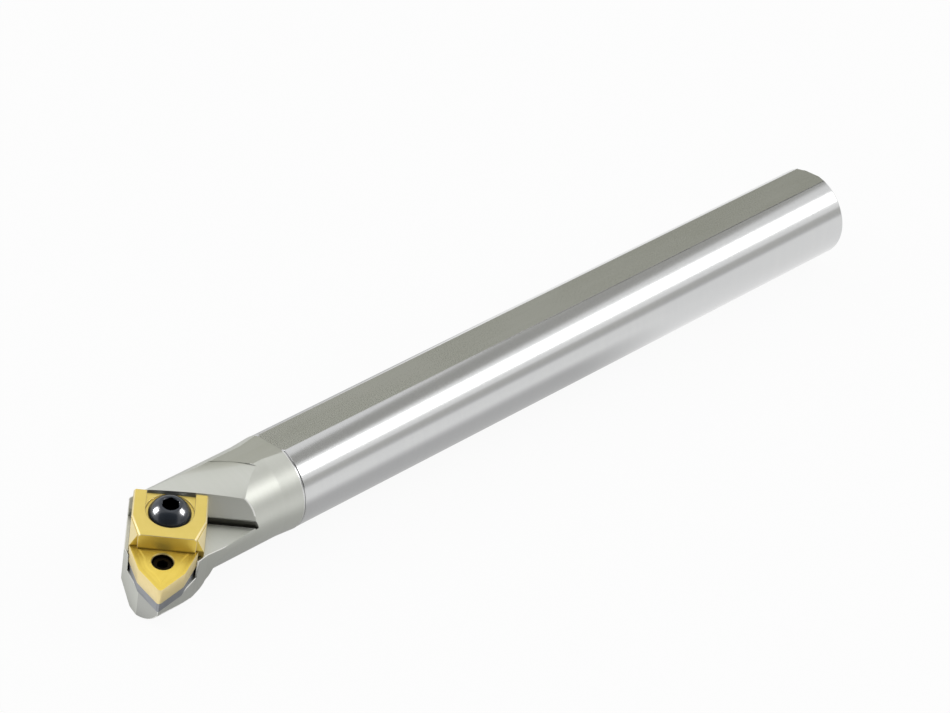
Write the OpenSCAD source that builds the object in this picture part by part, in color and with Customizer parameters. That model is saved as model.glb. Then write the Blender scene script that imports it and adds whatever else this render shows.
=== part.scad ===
// Boring bar with an indexable trigon insert held by a lock pin and a wedge clamp.
// Origin: centre of the shank's rear face. +X runs out of the rear of the shank,
// -Y is the side of the cutting nose, +Z is the side of the insert's top face.
// Millimetres. The cutting nose is at x = -bar_length, y = -nose_reach, z = nose_height.

/* [Bar] */
// Length from the rear face to the cutting nose
bar_length = 250; // [200:5:300]
// Diameter of the round shank
shank_d = 25; // [24.5:0.25:26]
// Height of the shank over its two clamping flats
shank_h = 23; // [22.5:0.25:23.5]
// Chamfer round the rear face
rear_chamfer = 0.8; // [0.3:0.1:2]
// Mouth diameter of the turning centre in the rear face
centre_hole_d = 5; // [2:0.5:8]

/* [Head] */
// Length of the head, from the cutting nose back to the shoulder
head_length = 49.6; // [46:0.2:60]
// Diameter of the head
head_d = 24.4; // [24:0.1:25]
// Diameter of the shoulder ring where the head meets the shank
shoulder_d = 25.2; // [25:0.1:26.4]
// Length over which the shoulder ring runs down to the head diameter
shoulder_run = 6; // [3:0.5:12]
// Radius of the belly that carries the nose, about its own centre line
belly_r = 14.1; // [13.4:0.1:14.4]
// How far the belly's centre line lies off the bar axis, towards the nose
belly_shift = 3.3; // [3:0.1:4.2]
// Length of the parallel stretch of the belly
belly_run = 13.7; // [10:0.1:15]
// Slope of the belly's tail, in degrees from the bar axis
belly_tail_angle = 42; // [30:1:50]
// Radius that blends the belly into its tail
belly_blend = 7.8; // [4:0.2:12]
// Radius at which the belly's steep tail ends and its slow run-out begins
belly_foot_r = 9.6; // [9.2:0.1:10]
// Length of the slow run-out into the head
belly_runout = 15; // [8:1:20]
// Length from the cutting nose over which the sides of the head are milled
sides_run = 45; // [42:1:48]

/* [Cutting position] */
// Distance of the cutting nose from the bar axis
nose_reach = 17; // [16.5:0.1:17.6]
// Height of the cutting nose over the bar axis
nose_height = -0.2; // [-0.6:0.1:0.4]
// Direction in which the nose's bisector runs back, in degrees from the bar axis
seat_yaw = 46.5; // [44:0.5:48]
// Rise of the insert's top face across the bar, in degrees
seat_lean = 14; // [10:0.5:16]
// Rise of the insert's top face along the bar, in degrees
seat_rise = 2.5; // [0:0.5:5]

/* [Insert] */
// Inscribed circle of the trigon insert
insert_ic = 12.7; // [12:0.1:13]
// Thickness of the insert
insert_t = 4.76; // [4:0.02:5.5]
// Nose radius of the insert
nose_r = 0.8; // [0.4:0.4:1.2]
// Hole through the insert
insert_hole_d = 5.16; // [5.06:0.02:5.6]
// Width of the land along the cutting edges
land_w = 0.3; // [0.2:0.05:0.5]
// Width of the chip groove
groove_w = 1.4; // [0.8:0.1:2]
// Depth of the chip groove
groove_depth = 0.22; // [0.1:0.02:0.3]

/* [Shim] */
// Thickness of the shim under the insert
shim_t = 3.18; // [2.4:0.02:4]
// How far the shim's sides stand inside the insert's sides
shim_inset = 0.35; // [0.1:0.05:0.6]
// Hole through the shim
shim_hole_d = 5.4; // [5.3:0.05:5.8]

/* [Lock pin] */
// Diameter of the pin inside the insert
pin_d = 5; // [4.6:0.02:5]
// Depth of the pin's top below the insert's top face
pin_sink = 1; // [0.3:0.1:1.4]
// Largest diameter of the pin's cone that holds the shim
pin_cone_d = 7; // [6.4:0.1:7.6]
// Thread diameter of the pin
pin_thread_d = 5; // [4.6:0.1:5.2]
// Length of the thread below the shim
pin_thread_l = 6; // [4:0.5:6.5]
// Key size of the pin's hexagon socket
pin_key = 2.5; // [2:0.5:3]
// Depth of the pin's hexagon socket
pin_socket_depth = 2; // [1:0.5:3]

/* [Pocket] */
// Depth of the clamp's floor below the insert's top face
floor_depth = 2.6; // [2:0.1:3.2]
// Distance from the insert's centre back to the foot of the sloping wall
wall_back = 16.4; // [16:0.1:18]
// Lean of the sloping wall away from the nose, in degrees
wall_lean = 23; // [15:1:30]
// Height over the floor up to which the wall stands upright behind its foot groove
foot_groove_h = 1.7; // [0.8:0.1:2.2]
// Depth of the foot groove below the floor
foot_groove_depth = 0.5; // [0.3:0.1:1.5]
// Gap between the insert's rear sides and the pocket's walls
pocket_gap = 0.2; // [0.15:0.05:0.5]
// Diameter of the relief holes at the pocket's corners
corner_relief_d = 1; // [0.8:0.1:1.6]
// How far their centres lie inside the corners of the insert
corner_relief_in = 0.5; // [0.4:0.1:1]
// How far the carrier's front sides stand inside the insert's sides
carrier_inset = 0.65; // [0.4:0.05:1]
// Distance of the head's flat left side from the nose's bisector
left_side = 9.45; // [9:0.05:10]
// How far the flat left side begins behind the insert's rear corner
shoulder_back = 0.9; // [0.4:0.1:2]
// How far the right pocket wall begins in front of the insert's rear corner
horn_front = 1.35; // [1:0.05:1.8]
// How far the right pocket wall's edge stands outside the insert's rear corner
horn_out = 0.1; // [0.1:0.05:0.6]
// Length of the relief beside the pocket, on the head's right side
relief_run = 3.05; // [2:0.1:5]
// Direction of that relief, in degrees from the nose's bisector
relief_angle = 39.4; // [30:0.2:46]
// Direction in which the relief runs out of the head
runout_angle = 52.2; // [50:0.2:60]

/* [Top facet] */
// Radius of the rounded facet between the top flat and the pocket
facet_r = 17.6; // [14:0.2:20]
// Direction of the facet's crest, in degrees from the bar axis
facet_yaw = 28.4; // [26:0.2:36]
// Where the facet's crest crosses the bar axis, from the nose
facet_back = 38.8; // [36:0.2:42]
// Radius of the arc in which the facet meets the top flat
facet_edge_r = 33.2; // [28:0.2:40]
// Centre of that arc, back from the nose
facet_edge_back = 11.4; // [8:0.2:14]
// Centre of that arc, out from the bar axis towards the nose
facet_edge_out = 20.3; // [18:0.1:23]

/* [Clamp] */
// Height of the clamp's top over the insert's top face
clamp_top = 4.2; // [3.8:0.1:5]
// How far the clamp's foot reaches over the insert, from its rear corner line
clamp_overlap = 1.5; // [1:0.1:2.2]
// How far the clamp's front face slopes back over its height
clamp_front_slope = 0.65; // [0:0.05:1]
// Width of the clamp
clamp_w = 18.2; // [17:0.1:18.4]
// Width of the clamp's front face
clamp_front_w = 13.8; // [12:0.2:15]
// Length over which the clamp narrows to its front face
clamp_taper = 7; // [5:0.5:8]
// How far the clamp's shoulders stand back from the finger's foot
shoulder_set = 0.7; // [0.4:0.1:1.6]
// Slope of the shoulders, in degrees from square to the top
shoulder_slope = 24; // [10:1:30]
// Bevel along the clamp's upper edges
clamp_bevel = 0.45; // [0.1:0.05:0.6]
// How far the clamp's centre line lies to the right of the nose's bisector
clamp_shift = 0.6; // [0.4:0.05:1]
// Gap between the clamp's underside and the pocket floor
clamp_lift_gap = 0.3; // [0.2:0.05:0.6]
// Gap between the clamp's rear face and the sloping wall
clamp_heel_gap = 0.03; // [0.02:0.01:0.1]
// Gap between the clamp and the insert's rear sides
clamp_push_gap = 0.05; // [0.03:0.01:0.15]
// Depth of the recess for the screw head
recess_depth = 1.2; // [0.6:0.1:2]
// Gap between the screw head and the side of its recess
recess_gap = 0.65; // [0.3:0.05:0.8]

/* [Clamp screw] */
// Thread diameter of the clamp screw
screw_d = 6; // [5:0.5:6]
// Length of the clamp screw under its head
screw_l = 19; // [17:0.5:19]
// Diameter of the button head
screw_head_d = 10.5; // [9.5:0.1:10.9]
// Height of the button head
screw_head_h = 3.3; // [2.5:0.1:3.6]
// Diameter of the head's flat top
screw_crown_d = 5.4; // [5:0.1:6.5]
// Height of the straight rim round the button head
screw_rim_h = 0.4; // [0.2:0.1:0.8]
// Key size of the hexagon socket
screw_key = 4; // [3:0.5:4]
// Depth of the hexagon socket
screw_socket_depth = 2.2; // [1.5:0.1:2.6]
// Distance of the screw's axis behind the insert's centre
screw_back = 13.2; // [12.6:0.1:13.4]
// Radial clearance of the screw and the pin in their holes
thread_gap = 0.05; // [0.02:0.01:0.1]

/* [Stop ring] */
// Outer diameter of the stop ring under the clamp
ring_d = 9; // [8.4:0.1:9.6]
// Thickness of the stop ring
ring_t = 0.7; // [0.5:0.1:1]
// Depth of the ring's groove in the screw
ring_groove = 0.5; // [0.3:0.1:0.7]
// Width of the opening by which the ring slips over the screw
ring_open = 4.2; // [3.8:0.1:4.4]
// Gap between the ring and what is next to it
ring_gap = 0.1; // [0.05:0.05:0.2]

/* [Hidden] */
$fn = 96;

// Half of the cutting corner's angle, and half of the blunt corner's angle
corner_half = 40;
blunt_half = 80;
// Longer than any cut has to be
reach = 60;
// Overshoot of a cut past the face it opens
past = 1;
// How far a rounding laps over the straight side that it runs into
lap = 0.002;
// Depth of the facet's crest below the top flat
facet_drop = 0.06;
// Height from which the facet's cut begins, above the floor of the pocket's outer end
facet_base = head_d / 4;
// How far the lock pin's cone lies below the insert
cone_drop = 0.1;
// Half of the turning centre's angle
centre_half = 30;

apothem = insert_ic / 2;
insert_centre = apothem / sin(corner_half);
blunt_r = apothem / sin(blunt_half);
rear_corner = [
    insert_centre + insert_centre * cos(60),
    insert_centre * sin(60)
];
seat_depth = insert_t + shim_t;
wall_foot = insert_centre + wall_back;
clamp_foot = rear_corner[0] - clamp_overlap;
screw_at = insert_centre + screw_back;
recess_floor = clamp_top - recess_depth;
// Height of the top of the lock pin's cone, just under the insert
pin_cone_top = -insert_t - cone_drop;
clamp_bottom = -floor_depth + clamp_lift_gap;
ring_top = clamp_bottom - ring_gap;
shank_length = bar_length - head_length;

// Places its children in the insert's frame: origin at the nose, +X back along the
// nose's bisector, +Z square to the insert's top face
module seat_frame() {
    translate([-bar_length, -nose_reach, nose_height])
        rotate([seat_lean, -seat_rise, 0])
            rotate([0, 0, seat_yaw])
                children();
}

// Lays a cylinder or a revolved shape, drawn along +Z, along the bar towards -X
module along_bar(from = 0) {
    translate([-from, 0, 0])
        rotate([0, -90, 0])
            children();
}

// Corner k of a trigon whose sides stand inset inside the insert's sides
function trigon_corner(k, inset = 0) = let (
    angle = 180 + 60 * k,
    r = (apothem - inset) / sin(k % 2 == 0 ? corner_half : blunt_half)
) [insert_centre + r * cos(angle), r * sin(angle)];

// A trigon with its three cutting corners rounded
module trigon(inset = 0, corner_r = nose_r) {
    turn = 90 - corner_half;
    centres = [for (k = [0:2:4]) let (
        angle = 180 + 60 * k,
        r = (apothem - inset - corner_r) / sin(corner_half)
    ) [insert_centre + r * cos(angle), r * sin(angle)]];
    points = [for (k = [0:5]) each k % 2 == 1
        ? [trigon_corner(k, inset)]
        : [for (side = [-1, 1]) let (angle = 180 + 60 * k + side * turn)
            centres[k / 2] + corner_r * [cos(angle), sin(angle)]]];
    polygon(points);
    for (c = centres) translate(c) circle(corner_r + lap);
}

// Shank, shoulder ring and head, turned round the bar axis
module turned_bar() {
    along_bar() cylinder(h = rear_chamfer, d1 = shank_d - 2 * rear_chamfer, d2 = shank_d);
    along_bar(rear_chamfer) cylinder(h = shank_length - rear_chamfer, d = shank_d);
    along_bar(shank_length) cylinder(h = shoulder_run, d1 = shoulder_d, d2 = head_d);
    along_bar(shank_length + shoulder_run)
        cylinder(h = head_length - shoulder_run + past, d = head_d);
}

// The belly under the nose: a second turned form, off the bar axis, with a sloping tail
module belly() {
    steps = 5;
    tail_start = belly_run + belly_blend * sin(belly_tail_angle);
    tail_r = belly_r - belly_blend * (1 - cos(belly_tail_angle));
    tail_end = tail_start + (tail_r - belly_foot_r) / tan(belly_tail_angle);
    end_r = head_d / 2 - belly_shift;
    blend = [for (i = [0:steps]) let (a = belly_tail_angle * i / steps)
        [belly_r - belly_blend * (1 - cos(a)), -belly_run - belly_blend * sin(a)]];
    translate([0, -belly_shift, 0])
        along_bar(bar_length)
            rotate_extrude()
                polygon([
                    [0, past], [belly_r, past], each blend, [belly_foot_r, -tail_end],
                    [end_r, -tail_end - belly_runout], [0, -tail_end - belly_runout]
                ]);
}

// Sides of the head as seen square to the insert: carrier under the insert, flat left
// side, and the relieved right side that runs out along the bar
module head_outline() {
    front = trigon_corner(0, carrier_inset);
    right_blunt = trigon_corner(1, carrier_inset);
    left_blunt = trigon_corner(5, carrier_inset);
    left_corner = [rear_corner[0] + shoulder_back, left_side];
    horn = [rear_corner[0] - horn_front, -rear_corner[1] - horn_out];
    relief = horn + relief_run * [cos(relief_angle), -sin(relief_angle)];
    out = relief + reach * [cos(runout_angle), -sin(runout_angle)];
    polygon([
        front, left_blunt, left_corner, [reach, left_side],
        out, relief, horn, right_blunt
    ]);
}

// Room for the shim and the insert, open to the front
module seat_pocket() {
    front = -reach / 2;
    open_to = rear_corner[0] - horn_front;
    translate([0, 0, -seat_depth]) {
        linear_extrude(reach) {
            trigon(-pocket_gap);
            polygon([[front, -reach], [open_to, -reach], [open_to, reach], [front, reach]]);
        }
        for (side = [-60, 60])
            translate([insert_centre, 0, 0])
                rotate([0, 0, side])
                    translate([insert_centre - corner_relief_in, 0, 0])
                        cylinder(h = reach, d = corner_relief_d);
    }
}

// Room for the clamp: a floor, the sloping wall behind it, and the groove at its foot
module clamp_room() {
    rise = reach / 2;
    foot = wall_foot;
    groove_back = foot + foot_groove_h * tan(wall_lean);
    rotate([90, 0, 0]) translate([0, 0, -reach]) linear_extrude(2 * reach) {
        polygon([
            [-reach, -floor_depth], [foot, -floor_depth],
            [foot + (rise + floor_depth) * tan(wall_lean), rise], [-reach, rise]
        ]);
        translate([foot, -floor_depth - foot_groove_depth])
            square([groove_back - foot, foot_groove_depth + foot_groove_h]);
    }
}

// What is taken off over the rounded facet
module facet_cut() {
    difference() {
        translate([-bar_length + facet_edge_back, -facet_edge_out, facet_base])
            cylinder(h = head_d, r = facet_edge_r);
        translate([-bar_length + facet_back, 0, shank_h / 2 - facet_drop - facet_r])
            rotate([0, 90, -facet_yaw])
                cylinder(h = 2 * reach, r = facet_r, center = true);
    }
}

// The one-piece steel bar
module bar() {
    color([0.72, 0.72, 0.69])
    difference() {
        union() {
            turned_bar();
            belly();
        }
        // sides of the head
        seat_frame() translate([0, 0, -reach]) linear_extrude(2 * reach)
            difference() {
                translate([-reach, -2 * reach]) square([reach + sides_run, 4 * reach]);
                head_outline();
            }
        // top flat over the whole length, bottom flat on the shank
        translate([-bar_length - past, -shank_d, shank_h / 2])
            cube([bar_length + 2 * past, 2 * shank_d, shank_d]);
        translate([-shank_length, -shank_d, -shank_h / 2 - shank_d])
            cube([shank_length + past, 2 * shank_d, shank_d]);
        facet_cut();
        seat_frame() {
            seat_pocket();
            clamp_room();
            // tapped holes of the lock pin and the clamp screw, right through
            translate([insert_centre, 0, -reach])
                cylinder(h = reach, d = pin_thread_d + 2 * thread_gap);
            translate([screw_at, -clamp_shift, -reach])
                cylinder(h = reach, d = screw_d + 2 * thread_gap);
            // room for the stop ring
            translate([screw_at, -clamp_shift, ring_top - ring_t - 2 * ring_gap])
                cylinder(h = reach, d = ring_d + 4 * ring_gap);
        }
        // turning centre
        translate([past, 0, 0]) along_bar() {
            mouth = centre_hole_d + 2 * past * tan(centre_half);
            cylinder(h = mouth / 2 / tan(centre_half), d1 = mouth, d2 = 0);
        }
    }
}

module shim() {
    color([0.36, 0.4, 0.45])
    seat_frame() difference() {
        translate([0, 0, -seat_depth]) linear_extrude(shim_t) trigon(shim_inset);
        translate([insert_centre, 0, 0]) {
            translate([0, 0, -seat_depth - past]) cylinder(h = shim_t + 2 * past, d = shim_hole_d);
            pin_cone(thread_gap);
            translate([0, 0, pin_cone_top]) cylinder(h = past, d = pin_cone_d + 2 * thread_gap);
        }
    }
}

// Cone of the lock pin, and the same with a clearance for its seat in the shim
module pin_cone(gap = 0) {
    h = (pin_cone_d - pin_thread_d) / 2;
    translate([0, 0, pin_cone_top - h])
        cylinder(h = h, d1 = pin_thread_d + 2 * gap, d2 = pin_cone_d + 2 * gap);
}

module insert() {
    color([0.86, 0.68, 0.2])
    seat_frame() translate([0, 0, -insert_t])
        difference() {
            linear_extrude(insert_t) trigon();
            translate([insert_centre, 0, -past])
                cylinder(h = insert_t + 2 * past, d = insert_hole_d);
            for (z = [-past, insert_t - groove_depth])
                translate([0, 0, z]) linear_extrude(groove_depth + past) chip_groove();
        }
}

// Chip groove that follows the cutting edges behind their land
module chip_groove() {
    difference() {
        trigon(land_w, nose_r - land_w);
        trigon(land_w + groove_w, nose_r);
    }
}

module lock_pin() {
    color([0.1, 0.1, 0.11])
    seat_frame() translate([insert_centre, 0, 0])
        difference() {
            union() {
                translate([0, 0, pin_cone_top]) cylinder(h = -pin_sink - pin_cone_top, d = pin_d);
                pin_cone();
                translate([0, 0, -seat_depth - pin_thread_l])
                    cylinder(h = seat_depth + pin_thread_l + pin_cone_top, d = pin_thread_d);
            }
            translate([0, 0, -pin_sink - pin_socket_depth])
                cylinder(h = pin_socket_depth + past, d = pin_key / cos(30), $fn = 6);
        }
}

// Corner points of the clamp's top, from the rear left round the front to the rear right
function clamp_top_points(front) = let (
    half = clamp_w / 2,
    front_half = clamp_front_w / 2,
    taper_end = clamp_foot + clamp_taper
) [
    [reach, half], [taper_end, half], [front, front_half],
    [front, -front_half], [taper_end, -half], [reach, -half]
];

// Outline of the clamp's lower body, which pushes on the insert's two rear sides
module clamp_body_outline() {
    blunt = trigon_corner(3, -clamp_push_gap);
    slope = (rear_corner[0] - insert_centre - blunt_r) / rear_corner[1];
    left = clamp_w / 2 - clamp_shift;
    right = -clamp_w / 2 - clamp_shift;
    polygon([
        blunt, [blunt[0] + slope * left, left], [reach, left],
        [reach, right], [blunt[0] - slope * right, right]
    ]);
}

// Upper block of the clamp: a finger over the insert between two sloping shoulders
module clamp_block() {
    half = clamp_w / 2;
    narrowing = atan((half - clamp_front_w / 2) / clamp_taper);
    linear_extrude(clamp_top) polygon(clamp_top_points(clamp_foot));
    difference() {
        translate([clamp_foot + shoulder_set, -half, 0]) cube([reach, clamp_w, clamp_top]);
        for (side = [0, 1])
            mirror([0, side, 0])
                translate([clamp_foot + clamp_taper, half, clamp_top])
                    rotate([0, 0, narrowing])
                        rotate([shoulder_slope, 0, 0])
                            translate([-reach, 0, -reach]) cube(2 * reach);
    }
}

// Bevel along all upper edges of the clamp but the rear one
module clamp_bevels() {
    points = clamp_top_points(clamp_foot + clamp_front_slope);
    side = clamp_bevel * sqrt(2);
    for (i = [0:len(points) - 2]) {
        step = points[i + 1] - points[i];
        translate([points[i][0], points[i][1], clamp_top])
            rotate([0, 0, atan2(step[1], step[0])])
                rotate([45, 0, 0])
                    translate([-side, -side / 2, -side / 2])
                        cube([norm(step) + 2 * side, side, side]);
    }
}

module clamp() {
    heel = wall_foot - clamp_heel_gap / cos(wall_lean);
    rise = clamp_top + floor_depth;
    color([0.84, 0.7, 0.3])
    seat_frame() difference() {
        intersection() {
            union() {
                translate([0, -clamp_shift, 0]) clamp_block();
                translate([0, 0, clamp_bottom])
                    linear_extrude(-clamp_bottom) clamp_body_outline();
            }
            // side view: sloping front face, and a heel that lies on the sloping wall
            rotate([90, 0, 0]) translate([0, 0, -reach]) linear_extrude(2 * reach)
                polygon([
                    [clamp_foot, 0], [clamp_foot + clamp_front_slope, clamp_top],
                    [heel + rise * tan(wall_lean), clamp_top],
                    [heel + clamp_lift_gap * tan(wall_lean), clamp_bottom],
                    [clamp_foot, clamp_bottom]
                ]);
        }
        translate([0, -clamp_shift, 0]) {
            clamp_bevels();
            // recess for the screw head, open to the rear
            translate([screw_at, 0, recess_floor]) {
                cylinder(h = reach, d = screw_head_d + 2 * recess_gap);
                translate([0, -screw_head_d / 2 - recess_gap, 0])
                    cube([reach, screw_head_d + 2 * recess_gap, reach]);
            }
            translate([screw_at, 0, clamp_bottom - past])
                cylinder(h = rise + past, d = screw_d + 2 * thread_gap);
        }
    }
}

module clamp_screw() {
    crown_r = screw_crown_d / 2;
    head_r = screw_head_d / 2;
    // centre height and radius of the ball whose cap is the head
    drop = (pow(head_r, 2) - pow(crown_r, 2) + pow(screw_rim_h, 2) - pow(screw_head_h, 2))
        / (2 * (screw_rim_h - screw_head_h));
    ball_r = sqrt(pow(head_r, 2) + pow(screw_rim_h - drop, 2));
    color([0.08, 0.08, 0.09])
    seat_frame() translate([screw_at, -clamp_shift, recess_floor])
        difference() {
            union() {
                intersection() {
                    cylinder(h = screw_head_h, r = head_r);
                    translate([0, 0, drop]) sphere(ball_r);
                }
                translate([0, 0, -screw_l]) cylinder(h = screw_l, d = screw_d);
            }
            translate([0, 0, screw_head_h - screw_socket_depth])
                cylinder(h = screw_socket_depth + past, d = screw_key / cos(30), $fn = 6);
            // groove of the stop ring
            translate([0, 0, ring_top - ring_t - ring_gap - recess_floor]) difference() {
                cylinder(h = ring_t + 2 * ring_gap, d = screw_d + past);
                cylinder(h = ring_t + 2 * ring_gap, d = screw_d - 2 * ring_groove);
            }
        }
}

module stop_ring() {
    bore = screw_d - 2 * ring_groove;
    color([0.5, 0.5, 0.5])
    seat_frame() translate([screw_at, -clamp_shift, ring_top - ring_t])
        difference() {
            cylinder(h = ring_t, d = ring_d);
            translate([0, 0, -past]) {
                cylinder(h = ring_t + 2 * past, d = bore + 2 * thread_gap);
                translate([0, -ring_open / 2, 0]) cube([ring_d, ring_open, ring_t + 2 * past]);
            }
        }
}

bar();
shim();
insert();
lock_pin();
clamp();
clamp_screw();
stop_ring();
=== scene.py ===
import math

import bmesh
import bpy
from mathutils import Matrix, Vector


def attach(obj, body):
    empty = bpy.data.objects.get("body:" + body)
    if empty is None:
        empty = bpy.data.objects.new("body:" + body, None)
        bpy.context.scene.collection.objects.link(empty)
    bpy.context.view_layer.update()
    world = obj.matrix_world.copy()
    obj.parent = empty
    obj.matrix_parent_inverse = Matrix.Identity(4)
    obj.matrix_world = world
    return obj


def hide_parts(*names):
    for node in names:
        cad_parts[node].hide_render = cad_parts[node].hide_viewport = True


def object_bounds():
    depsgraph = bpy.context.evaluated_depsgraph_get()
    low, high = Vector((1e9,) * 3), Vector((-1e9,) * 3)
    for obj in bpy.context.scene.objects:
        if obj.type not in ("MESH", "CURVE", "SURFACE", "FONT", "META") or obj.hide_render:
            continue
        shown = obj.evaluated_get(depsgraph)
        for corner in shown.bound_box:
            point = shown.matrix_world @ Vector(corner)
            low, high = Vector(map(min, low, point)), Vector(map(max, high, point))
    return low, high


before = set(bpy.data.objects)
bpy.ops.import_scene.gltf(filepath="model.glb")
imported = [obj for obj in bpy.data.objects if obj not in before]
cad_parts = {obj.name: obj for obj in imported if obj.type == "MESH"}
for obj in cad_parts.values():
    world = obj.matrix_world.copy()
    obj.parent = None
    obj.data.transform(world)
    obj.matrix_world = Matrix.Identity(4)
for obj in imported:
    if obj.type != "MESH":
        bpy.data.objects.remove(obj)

# Pieces are made in millimetres and scaled to metres once, in dress() and stand().
MM = 0.001
cad_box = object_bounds()
scene = bpy.context.scene
scene.view_settings.view_transform = "Standard"

# Sizes of the bar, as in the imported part, with the small forms that only the render has
BAR_LENGTH = 250
SHANK_D, SHANK_H = 25, 23
REAR_CHAMFER, CENTRE_HOLE_D = 0.8, 5
HEAD_LENGTH, HEAD_D = 49.6, 24.4
SHOULDER_D, SHOULDER_RUN = 25.2, 6
UNDERCUT_W, UNDERCUT_DEPTH = 0.45, 0.22
BELLY_R, BELLY_SHIFT, BELLY_RUN = 14.1, 3.3, 13.7
BELLY_TAIL, BELLY_BLEND, BELLY_FOOT_R, BELLY_RUNOUT = math.radians(42), 7.8, 9.6, 15
HEEL_FLAT, HEEL_YAW, HEEL_TILT = 10, math.radians(34.7), math.radians(14.8)
HEEL_TURN, SIDES_RUN = math.radians(130), 45
NOSE = Vector((-250, -17, -0.2))
SEAT_YAW, SEAT_LEAN, SEAT_RISE = math.radians(46.5), math.radians(14), math.radians(2.5)
INSERT_IC, INSERT_T, NOSE_R, INSERT_HOLE_D = 12.7, 4.76, 0.8, 5.16
SHIM_T, SHIM_INSET, SHIM_HOLE_D = 3.18, 0.35, 5.4
PIN_D, PIN_SINK, PIN_CONE_D, PIN_THREAD_D, PIN_THREAD_L = 5, 1, 7, 5, 6
PIN_KEY, PIN_SOCKET, CONE_DROP = 2.5, 2, 0.1
FLOOR_DEPTH, WALL_BACK, WALL_LEAN = 2.6, 16.4, math.radians(23)
FOOT_GROOVE_H, FOOT_GROOVE_DEPTH = 1.7, 0.5
SEAT_PLAY, CORNER_RELIEF_D, CORNER_RELIEF_IN = 0.08, 0.6, 0.3
CARRIER_INSET, LEFT_SIDE, SHOULDER_BACK = 0.65, 9.45, 0.9
HORN_FRONT, HORN_OUT = 1.35, 0.1
RELIEF_RUN, RELIEF_ANGLE, RUNOUT_ANGLE = 3.05, math.radians(39.4), math.radians(52.2)
FACET_R, FACET_YAW, FACET_BACK = 17.6, math.radians(28.4), 38.8
FACET_EDGE_R, FACET_EDGE_BACK, FACET_EDGE_OUT, FACET_DROP = 33.2, 11.4, 20.3, 0.06
CLAMP_TOP, CLAMP_OVERLAP, CLAMP_SLOPE = 4.2, 1.5, 0.65
CLAMP_W, CLAMP_FRONT_W, CLAMP_TAPER = 18.2, 13.8, 7
SHOULDER_SET, SHOULDER_SLOPE, CLAMP_BEVEL, CLAMP_SHIFT = 0.7, math.radians(24), 0.45, 0.6
LIFT_GAP, HEEL_GAP, PUSH_GAP = 0.3, 0.03, 0.05
RECESS_DEPTH, RECESS_GAP, REAR_DEPTH = 1.2, 0.65, 0.7
SCREW_D, SCREW_L, SCREW_PITCH = 6, 19, 1
SCREW_HEAD_D, SCREW_HEAD_H, SCREW_CROWN_D, SCREW_EDGE_H = 10.5, 3.3, 5.4, 0.4
SCREW_KEY, SCREW_SOCKET, SCREW_BACK, THREAD_GAP = 4, 2.2, 13.2, 0.05
RING_D, RING_T, RING_GROOVE, RING_GAP = 9, 0.7, 0.5, 0.1

# Edges turning by more than EDGE_ANGLE are broken, but not beside strips under STRIP_W wide
BAR_EDGE, CLAMP_EDGE, SHIM_EDGE = 0.2, 0.14, 0.08
EDGE_ANGLE, STRIP_W, EDGE_SPARE, LEAST_SHARE = math.radians(28), 0.25, 2.4, 0.25

# REACH is longer than any cut, and PAST is how far a cutting form stands out of what it cuts
REACH, PAST = 60, 1
CORNER_HALF, BLUNT_HALF = math.radians(40), math.radians(80)
APOTHEM = INSERT_IC / 2
INSERT_CENTRE = APOTHEM / math.sin(CORNER_HALF)
REAR_CORNER = (INSERT_CENTRE * 1.5, INSERT_CENTRE * math.sin(math.radians(60)))
SEAT_DEPTH = INSERT_T + SHIM_T
WALL_FOOT = INSERT_CENTRE + WALL_BACK
CLAMP_FOOT = REAR_CORNER[0] - CLAMP_OVERLAP
SCREW_AT = INSERT_CENTRE + SCREW_BACK
RECESS_FLOOR = CLAMP_TOP - RECESS_DEPTH
PIN_CONE_TOP = -INSERT_T - CONE_DROP
CLAMP_BOTTOM = -FLOOR_DEPTH + LIFT_GAP
RING_TOP = CLAMP_BOTTOM - RING_GAP
SHANK_LENGTH = BAR_LENGTH - HEAD_LENGTH

# The insert's frame: origin at the nose, +X back along its bisector, +Z square to its top
SEAT = (Matrix.Translation(NOSE) @ Matrix.Rotation(-SEAT_RISE, 4, "Y")
        @ Matrix.Rotation(SEAT_LEAN, 4, "X") @ Matrix.Rotation(SEAT_YAW, 4, "Z"))
SEAT_UP, SEAT_BACK, SEAT_LEFT, HEEL_FRONT = [
    (SEAT.to_3x3() @ Vector(way)).normalized() for way in (
        (0, 0, 1), (1, 0, 0), (0, 1, 0), (math.cos(HEEL_TURN), math.sin(HEEL_TURN), 0))]
WALL_FACE = (SEAT_UP * math.sin(WALL_LEAN) - SEAT_BACK * math.cos(WALL_LEAN)).normalized()
SCREW_AXIS = SEAT @ Matrix.Translation((SCREW_AT, -CLAMP_SHIFT, 0))
PIN_AXIS = SEAT @ Matrix.Translation((INSERT_CENTRE, 0, 0))


# ---- mesh work ----

def piece_from(name, points, faces, place=None):
    """A mesh object from points and faces, with its faces looking outwards."""
    mesh = bpy.data.meshes.new(name)
    place = place or Matrix.Identity(4)
    mesh.from_pydata([place @ Vector(p) for p in points], [], faces)
    form = bmesh.new()
    form.from_mesh(mesh)
    bmesh.ops.recalc_face_normals(form, faces=form.faces)
    form.to_mesh(mesh)
    form.free()
    piece = bpy.data.objects.new(name, mesh)
    scene.collection.objects.link(piece)
    return piece


def prism(outline, low, high, place=None):
    """An outline of points, drawn in the plane and raised from low to high."""
    n = len(outline)
    points = [(x, y, z) for z in (low, high) for x, y in outline]
    sides = [(i, (i + 1) % n, n + (i + 1) % n, n + i) for i in range(n)]
    return piece_from("blank", points, [tuple(range(n)), tuple(range(n, 2 * n)), *sides], place)


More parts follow.
